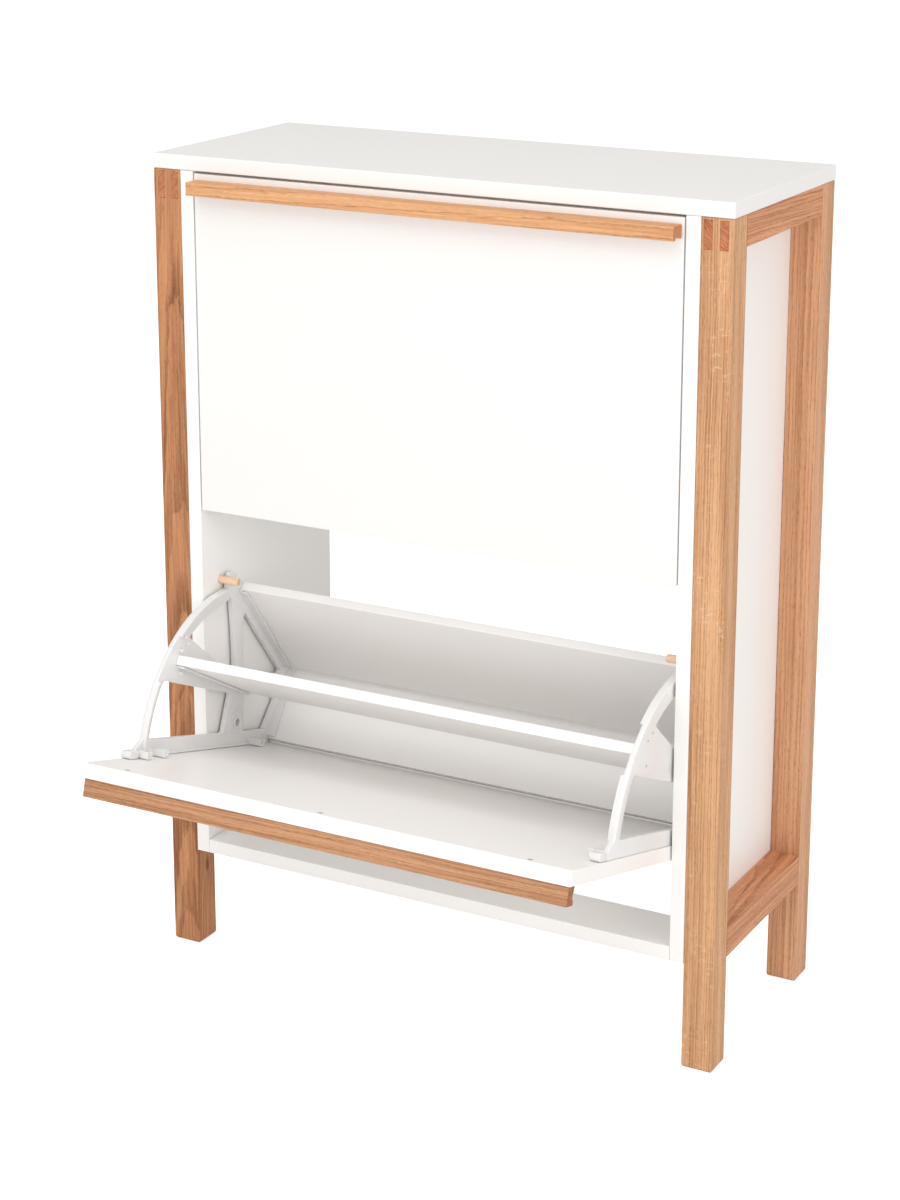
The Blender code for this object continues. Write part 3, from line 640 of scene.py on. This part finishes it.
def moulding(name, outlines, low, high, edge=MOULD["edge"]):
    """A plate between two depths, from one outline and those of its holes, with rounded edges."""
    curve = bpy.data.curves.new(name, "CURVE")
    curve.dimensions = "2D"
    curve.fill_mode = "BOTH"
    curve.extrude = (high - low) / 2 - edge
    curve.bevel_depth = edge
    curve.bevel_resolution = 1
    curve.offset = -edge
    for outline in outlines:
        spline = curve.splines.new("POLY")
        spline.points.add(len(outline) - 1)
        for point, place in zip(spline.points, outline):
            point.co = (*place, 0.0, 1.0)
        spline.use_cyclic_u = True
    drawn = bpy.data.objects.new(name, curve)
    scene.collection.objects.link(drawn)
    mesh = to_mesh(drawn, name)
    bpy.data.objects.remove(drawn)
    bpy.data.curves.remove(curve)
    for vertex in mesh.vertices:
        vertex.co.z += (low + high) / 2
    piece = bpy.data.objects.new(name, mesh)
    scene.collection.objects.link(piece)
    return piece


def combined(name, base, parts, operation):
    """Joins parts to a base, or cuts them from it, and removes them."""
    for part in parts:
        modifier = base.modifiers.new(part.name, "BOOLEAN")
        modifier.operation = operation
        modifier.solver = "EXACT"
        modifier.object = part
    mesh = to_mesh(base, name)
    for spent in [base, *parts]:
        bpy.data.objects.remove(spent)
    made = bpy.data.objects.new(name, mesh)
    scene.collection.objects.link(made)
    return made


def board_corners(start, end, side_of_line):
    """A board's section: the two ends of its inner face, then those of its outer face."""
    start, end = Vector(start), Vector(end)
    along = (end - start).normalized()
    thick = Vector((-along.y, along.x)) * MOULD["board"] * side_of_line
    return [start, end, end + thick, start + thick]


def ledge_outline(start, end, side_of_line):
    """A rib along the inner face of a board."""
    start, end = Vector(start), Vector(end)
    along = (end - start).normalized()
    away = Vector((along.y, -along.x)) * side_of_line
    first, last = start + along * 0.004, end - along * 0.004
    near, far = away * MOULD["board_clearance"], away * MOULD["ledge"]
    return [first + near, last + near, last + far, first + far]


def disc(middle, radius, sides=28):
    """A circle as an outline."""
    return arc_points(radius, 0.0, 360.0 * (sides - 1) / sides, sides - 1, middle)


def fitting_web():
    """The pierced plate, from its foot on the flap round its nose, arc and hook to its back."""
    foot = MOULD["foot_clearance"]
    nose = [(-0.1075, foot), (0.208, foot), (0.208, 0.004), (0.204, 0.011), (0.196, 0.0165)]
    hook = [(0.0452, 0.206), (0.0452, 0.222), (0.043, 0.224), (0.031, 0.224), (0.028, 0.221), (0.028, 0.214)]
    high_foot, high_top = board_corners(*BIN_BOARDS["high back board"])[2:]
    low_top, low_foot = board_corners(*BIN_BOARDS["low back board"])[2:]
    back = [high_top, high_foot, low_top, low_foot]
    outer = nose + arc_points(MOULD["arc_radius"], 1.0, 76.5, 36) + hook + back
    high_arc = arc_points(MOULD["high_window_radius"], 74.0, 46.7, 12)
    low_arc = arc_points(MOULD["low_window_radius"], 22.0, 1.0, 9)
    strut_high = [(0.005, 0.094), (0.0029, 0.1008), (0.0179, 0.1487), (0.033, 0.190)]
    strut_low = [(0.0124, 0.0184), (0.0097, 0.0475), (0.0067, 0.0689)]
    windows = [
        [(0.036, 0.192)] + high_arc + [(0.052, 0.1126)] + strut_high,
        [(0.1615, 0.0912)] + low_arc + strut_low,
        [(-0.0001, 0.175), (-0.1074, 0.0953), (-0.104, 0.091), (-0.019, 0.091), (-0.007, 0.137)],
        [(-0.110, 0.072), (-0.105, 0.0553), (-0.0853, 0.0184), (-0.034, 0.0184), (-0.0255, 0.072)],
    ]
    outlines = [filleted(outer, 0.0015, 2)] + [filleted(window, 0.004) for window in windows]
    return moulding("web", outlines + [disc(RING["middle"], RING["hole"])], 0.0, MOULD["web"])


def lug_outline(u):
    """A lug's section: a channel with a floor and two walls."""
    half, slot, low, floor_v, top = 0.0055, 0.0025, 0.0006, 0.0035, MOULD["lug_height"]
    right = [(half, low), (half, top), (slot, top), (slot, floor_v)]
    left = [(-across, v) for across, v in reversed(right)]
    return [(u + across, v) for across, v in right + left]


def make_fitting():
    """One moulded side in its own space: u, v, and the depth inward from its outer face."""
    web = MOULD["web"]
    root = web - MOULD["overlap"]
    parts = []
    for name, start, end, steps in (("low flange", -4.6, 22.7, 12), ("high flange", 42.3, 76.0, 16)):
        band = arc_points(MOULD["arc_radius"] - FLANGE_INSET, start, end, steps)
        band += arc_points(MOULD["flange_radius"], end, start, steps)
        parts.append(moulding(name, [band], root, MOULD["flange"]))
    for name, line in BIN_BOARDS.items():
        parts.append(moulding(f"{name} rib", [ledge_outline(*line)], root, MOULD["ledge_reach"]))
    foot = [(-0.0930, 0.0006), (0.2060, 0.0006), (0.2060, 0.0034), (-0.0930, 0.0034)]
    parts.append(moulding("foot rib", [foot], root, web + 0.0026))
    for number, u in enumerate(LUGS):
        outline = filleted(lug_outline(u), 0.0024, 3)
        parts.append(moulding(f"lug {number}", [outline], root, MOULD["lug_reach"]))
    nose = [(0.2072, 0.0006), (0.2265, 0.0006), (0.2265, 0.0100), (0.2072, 0.0100)]
    parts.append(moulding("nose", [filleted(nose, 0.0042, 5)], 0.0003, 0.014))
    for number, place in enumerate(STUDS):
        outline = disc(place, MOULD["stud_radius"], 16)
        parts.append(moulding(f"stud {number}", [outline], root, web + MOULD["stud_height"]))
    rim = [disc(RING["middle"], RING["rim"]), disc(RING["middle"], RING["hole"])]
    parts.append(moulding("ring", rim, root, web + RING["rim_height"]))
    border = [disc(RING["middle"], radius) for radius in RING["border"]]
    parts.append(moulding("ring border", border, root, web + RING["border_height"], 0.0003))

    # two short ridges on the plate's inner face, beside the hook
    along = Vector((-0.1354, -0.1026)).normalized()
    across = Vector((along.y, -along.x))
    half, length = across * 0.0011, along * 0.013
    for number, offset in enumerate((-0.0030, 0.0030)):
        start = Vector((0.0230, 0.1980)) + across * (offset + 0.0085)
        bar = [start - half, start + length - half, start + length + half, start + half]
        parts.append(moulding(f"ridge {number}", [bar], root, web + 0.0030))
    solid = combined("solid fitting", fitting_web(), parts, "UNION")

    # driver holes run down into two lugs: they are drawn lying flat and then stood up
    bores = []
    for u in SCREW_LUGS:
        bore = moulding(f"bore {u}", [disc((u, 0.0), MOULD["driver_radius"], 20)], 0.0, 0.010, 0.0001)
        for vertex in bore.data.vertices:
            flat = vertex.co.copy()
            vertex.co = (flat.x, SCREW_SEAT_V + flat.z, SCREW_DEPTH - flat.y)
        bores.append(bore)
    pin_hole = disc((0.0, PIVOT_V), MOULD["pin_radius"], 24)
    bores.append(moulding("pin bore", [pin_hole], -0.002, MOULD["pin_depth"], 0.0001))
    for place in DIMPLES:
        dimple = disc(place, MOULD["dimple_radius"], 16)
        bores.append(moulding(f"dimple {place}", [dimple], -0.002, MOULD["dimple_depth"], 0.0001))
    return combined("fitting mould", solid, bores, "DIFFERENCE")


def moulded_plastic(name):
    """White moulded plastic: satin, with a fine spark-eroded texture and faint flow marks."""
    made, shader = surface(name, IOR=1.49)
    tree = made.node_tree
    place = tree.nodes.new("ShaderNodeTexCoord").outputs["Object"]
    sparks = grained_noise(tree, place, 6.0, (2600.0,) * 3, 1.0)
    flow = grained_noise(tree, place, 7.0, (30.0,) * 3, 3.0)
    colour = blended(tree, flow, (0.82, 0.811, 0.803, 1.0), (0.78, 0.772, 0.765, 1.0))
    tree.links.new(colour, shader.inputs["Base Color"])
    tree.links.new(work(tree, "MULTIPLY_ADD", sparks, 0.12, 0.30), shader.inputs["Roughness"])
    bumped(tree, shader, sparks, 0.00003, 0.4)
    return made


fitting_mould = make_fitting()
fitting_plastic = moulded_plastic("white moulded plastic")
for level in LEVELS:
    for side_name, side in (("left", -1), ("right", 1)):
        cad_name = f"{level}_bin_{side_name}_fitting"
        mesh = fitting_mould.data.copy()
        mesh.name = f"{level}_bin_{side_name}_side_moulding"
        for vertex in mesh.vertices:
            u, v, depth = vertex.co
            vertex.co = from_bin(level, side * (FITTING_OUTER_X - depth), u, v)
        bm = bmesh.new()
        bm.from_mesh(mesh)
        bmesh.ops.recalc_face_normals(bm, faces=bm.faces)
        bm.to_mesh(mesh)
        bm.free()
        mesh.shade_smooth()
        mesh.set_sharp_from_angle(angle=math.radians(32))
        mesh.materials.clear()
        mesh.materials.append(fitting_plastic)
        piece = bpy.data.objects.new(mesh.name, mesh)
        scene.collection.objects.link(piece)
        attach(piece, f"{level}_bin")
        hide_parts(cad_name)
bpy.data.objects.remove(fitting_mould)

# ---- Screws ----
# Countersunk cross-head screws of zinc-plated steel, driven from inside: three through each flap
# into its handle, and one in each screwed lug of the fittings.


def make_screw_tree():
    """Puts a screw on every point, its head's face on the point and its length below."""
    tree = bpy.data.node_groups.new("countersunk screws", "GeometryNodeTree")
    tree.interface.new_socket("Geometry", in_out="INPUT", socket_type="NodeSocketGeometry")
    for label, kind, value in (
        ("Head Radius", "Float", 0.0035),
        ("Head Depth", "Float", 0.0024),
        ("Shank Radius", "Float", 0.0017),
        ("Length", "Float", 0.03),
        ("Recess Width", "Float", 0.0042),
        ("Tilt", "Vector", (0.0, 0.0, 0.0)),
        ("Seed", "Int", 1),
    ):
        socket = tree.interface.new_socket(label, in_out="INPUT", socket_type=f"NodeSocket{kind}")
        socket.default_value = value
    tree.interface.new_socket("Finish", in_out="INPUT", socket_type="NodeSocketMaterial")
    tree.interface.new_socket("Geometry", in_out="OUTPUT", socket_type="NodeSocketGeometry")
    given = tree.nodes.new("NodeGroupInput").outputs
    result = tree.nodes.new("NodeGroupOutput").inputs

    def lifted(shape, height):
        offset = add_node(tree, "ShaderNodeCombineXYZ", {"Z": height}).outputs[0]
        return add_node(tree, "GeometryNodeTransform", {"Geometry": shape, "Translation": offset}).outputs[0]

    rim = 0.0003  # height of the head's softened edge
    overlap = 0.0004  # of the shank and the head
    recess_depth = 0.0030  # twice what is cut, as the cutters stand half above the head
    slot_share = 0.26  # of the recess's width
    cone_feeds = {
        "Vertices": 24,
        "Radius Top": given["Head Radius"],
        "Radius Bottom": given["Shank Radius"],
        "Depth": given["Head Depth"],
    }
    cone = add_node(tree, "GeometryNodeMeshCone", cone_feeds).outputs["Mesh"]
    cone = lifted(cone, work(tree, "SUBTRACT", -rim, given["Head Depth"]))
    crown_feeds = {
        "Vertices": 24,
        "Radius Top": work(tree, "SUBTRACT", given["Head Radius"], rim),
        "Radius Bottom": given["Head Radius"],
        "Depth": rim,
    }
    crown = lifted(add_node(tree, "GeometryNodeMeshCone", crown_feeds).outputs["Mesh"], -rim)
    shank_feeds = {"Vertices": 16, "Radius": given["Shank Radius"], "Depth": given["Length"]}
    shank = add_node(tree, "GeometryNodeMeshCylinder", shank_feeds).outputs["Mesh"]
    shank = lifted(shank, work(tree, "MULTIPLY_ADD", given["Length"], -0.5, -rim - overlap))
    whole = add_node(tree, "GeometryNodeMeshBoolean", operation="UNION", solver="EXACT")
    for shape in (cone, crown, shank):
        tree.links.new(shape, whole.inputs["Mesh 2"])
    uncut = {"Mesh 1": whole.outputs["Mesh"]}
    cross = add_node(tree, "GeometryNodeMeshBoolean", uncut, operation="DIFFERENCE", solver="EXACT")
    recess, slot = given["Recess Width"], work(tree, "MULTIPLY", given["Recess Width"], slot_share)
    for width, height in ((recess, slot), (slot, recess)):
        sizes = {"X": width, "Y": height, "Z": recess_depth}
        size = add_node(tree, "ShaderNodeCombineXYZ", sizes).outputs[0]
        cutter = add_node(tree, "GeometryNodeMeshCube", {"Size": size}).outputs["Mesh"]
        tree.links.new(cutter, cross.inputs["Mesh 2"])
    placed = add_node(tree, "GeometryNodeInstanceOnPoints", {
        "Points": given["Geometry"],
        "Instance": cross.outputs["Mesh"],
        "Rotation": given["Tilt"],
    }).outputs[0]
    turn_feeds = {"Seed": given["Seed"], 3: math.tau}
    turn = add_node(tree, "FunctionNodeRandomValue", turn_feeds, data_type="FLOAT").outputs[1]
    turned = add_node(tree, "GeometryNodeRotateInstances", {
        "Instances": placed,
        "Rotation": add_node(tree, "ShaderNodeCombineXYZ", {"Z": turn}).outputs[0],
    }).outputs[0]
    real = add_node(tree, "GeometryNodeRealizeInstances", {"Geometry": turned}).outputs[0]
    finish = {"Geometry": real, "Material": given["Finish"]}
    dressed = add_node(tree, "GeometryNodeSetMaterial", finish).outputs[0]
    tree.links.new(dressed, result["Geometry"])
    return tree


screw_tree = make_screw_tree()
screw_steel = plated_steel("screw zinc plate", 8.4)


def drive_screws(level, name, points, length, replaced, seed):
    """Screws at points of a bin, as one piece that stands for the CAD's plain screws."""
    mesh = bpy.data.meshes.new(f"{name} points")
    mesh.from_pydata([from_bin(level, *point) for point in points], [], [])
    holder = bpy.data.objects.new(f"{name} points", mesh)
    scene.collection.objects.link(holder)
    modifier = holder.modifiers.new("screws", "NODES")
    modifier.node_group = screw_tree
    sockets = {
        item.name: item.identifier
        for item in screw_tree.interface.items_tree
        if item.item_type == "SOCKET" and item.in_out == "INPUT"
    }
    modifier[sockets["Length"]] = length
    modifier[sockets["Tilt"]] = (REST_ANGLES[level] - math.radians(90), 0.0, 0.0)
    modifier[sockets["Seed"]] = seed
    modifier[sockets["Finish"]] = screw_steel
    screws = bpy.data.objects.new(name, to_mesh(holder, name))
    holder.modifiers.clear()
    bpy.data.objects.remove(holder)
    scene.collection.objects.link(screws)
    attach(screws, f"{level}_bin")
    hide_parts(*replaced)


HANDLE_SCREWS_X = (-0.262, 0.0, 0.262)
HANDLE_SCREWS_U = {"lower": 0.2879, "upper": 0.2841}
HANDLE_HEAD_V = -0.0002  # just below the flap's inner face
LUG_HEAD_V = 0.0043
HANDLE_SCREW_LENGTH = 0.0290
LUG_SCREW_LENGTH = 0.0130
for seed, level in enumerate(LEVELS, 3):
    points = [(x, HANDLE_SCREWS_U[level], HANDLE_HEAD_V) for x in HANDLE_SCREWS_X]
    replaced = [f"{level}_bin_handle_screw_{number}" for number in (1, 2, 3)]
    drive_screws(level, f"{level}_bin_handle_screws", points, HANDLE_SCREW_LENGTH, replaced, seed)
    screw_x = FITTING_OUTER_X - SCREW_DEPTH
    points = [(side * screw_x, u, LUG_HEAD_V) for side in (-1, 1) for u in SCREW_LUGS]
    replaced = [f"{level}_bin_{side}_{end}_screw" for side in ("left", "right") for end in ("front", "rear")]
    drive_screws(level, f"{level}_bin_lug_screws", points, LUG_SCREW_LENGTH, replaced, seed + 10)
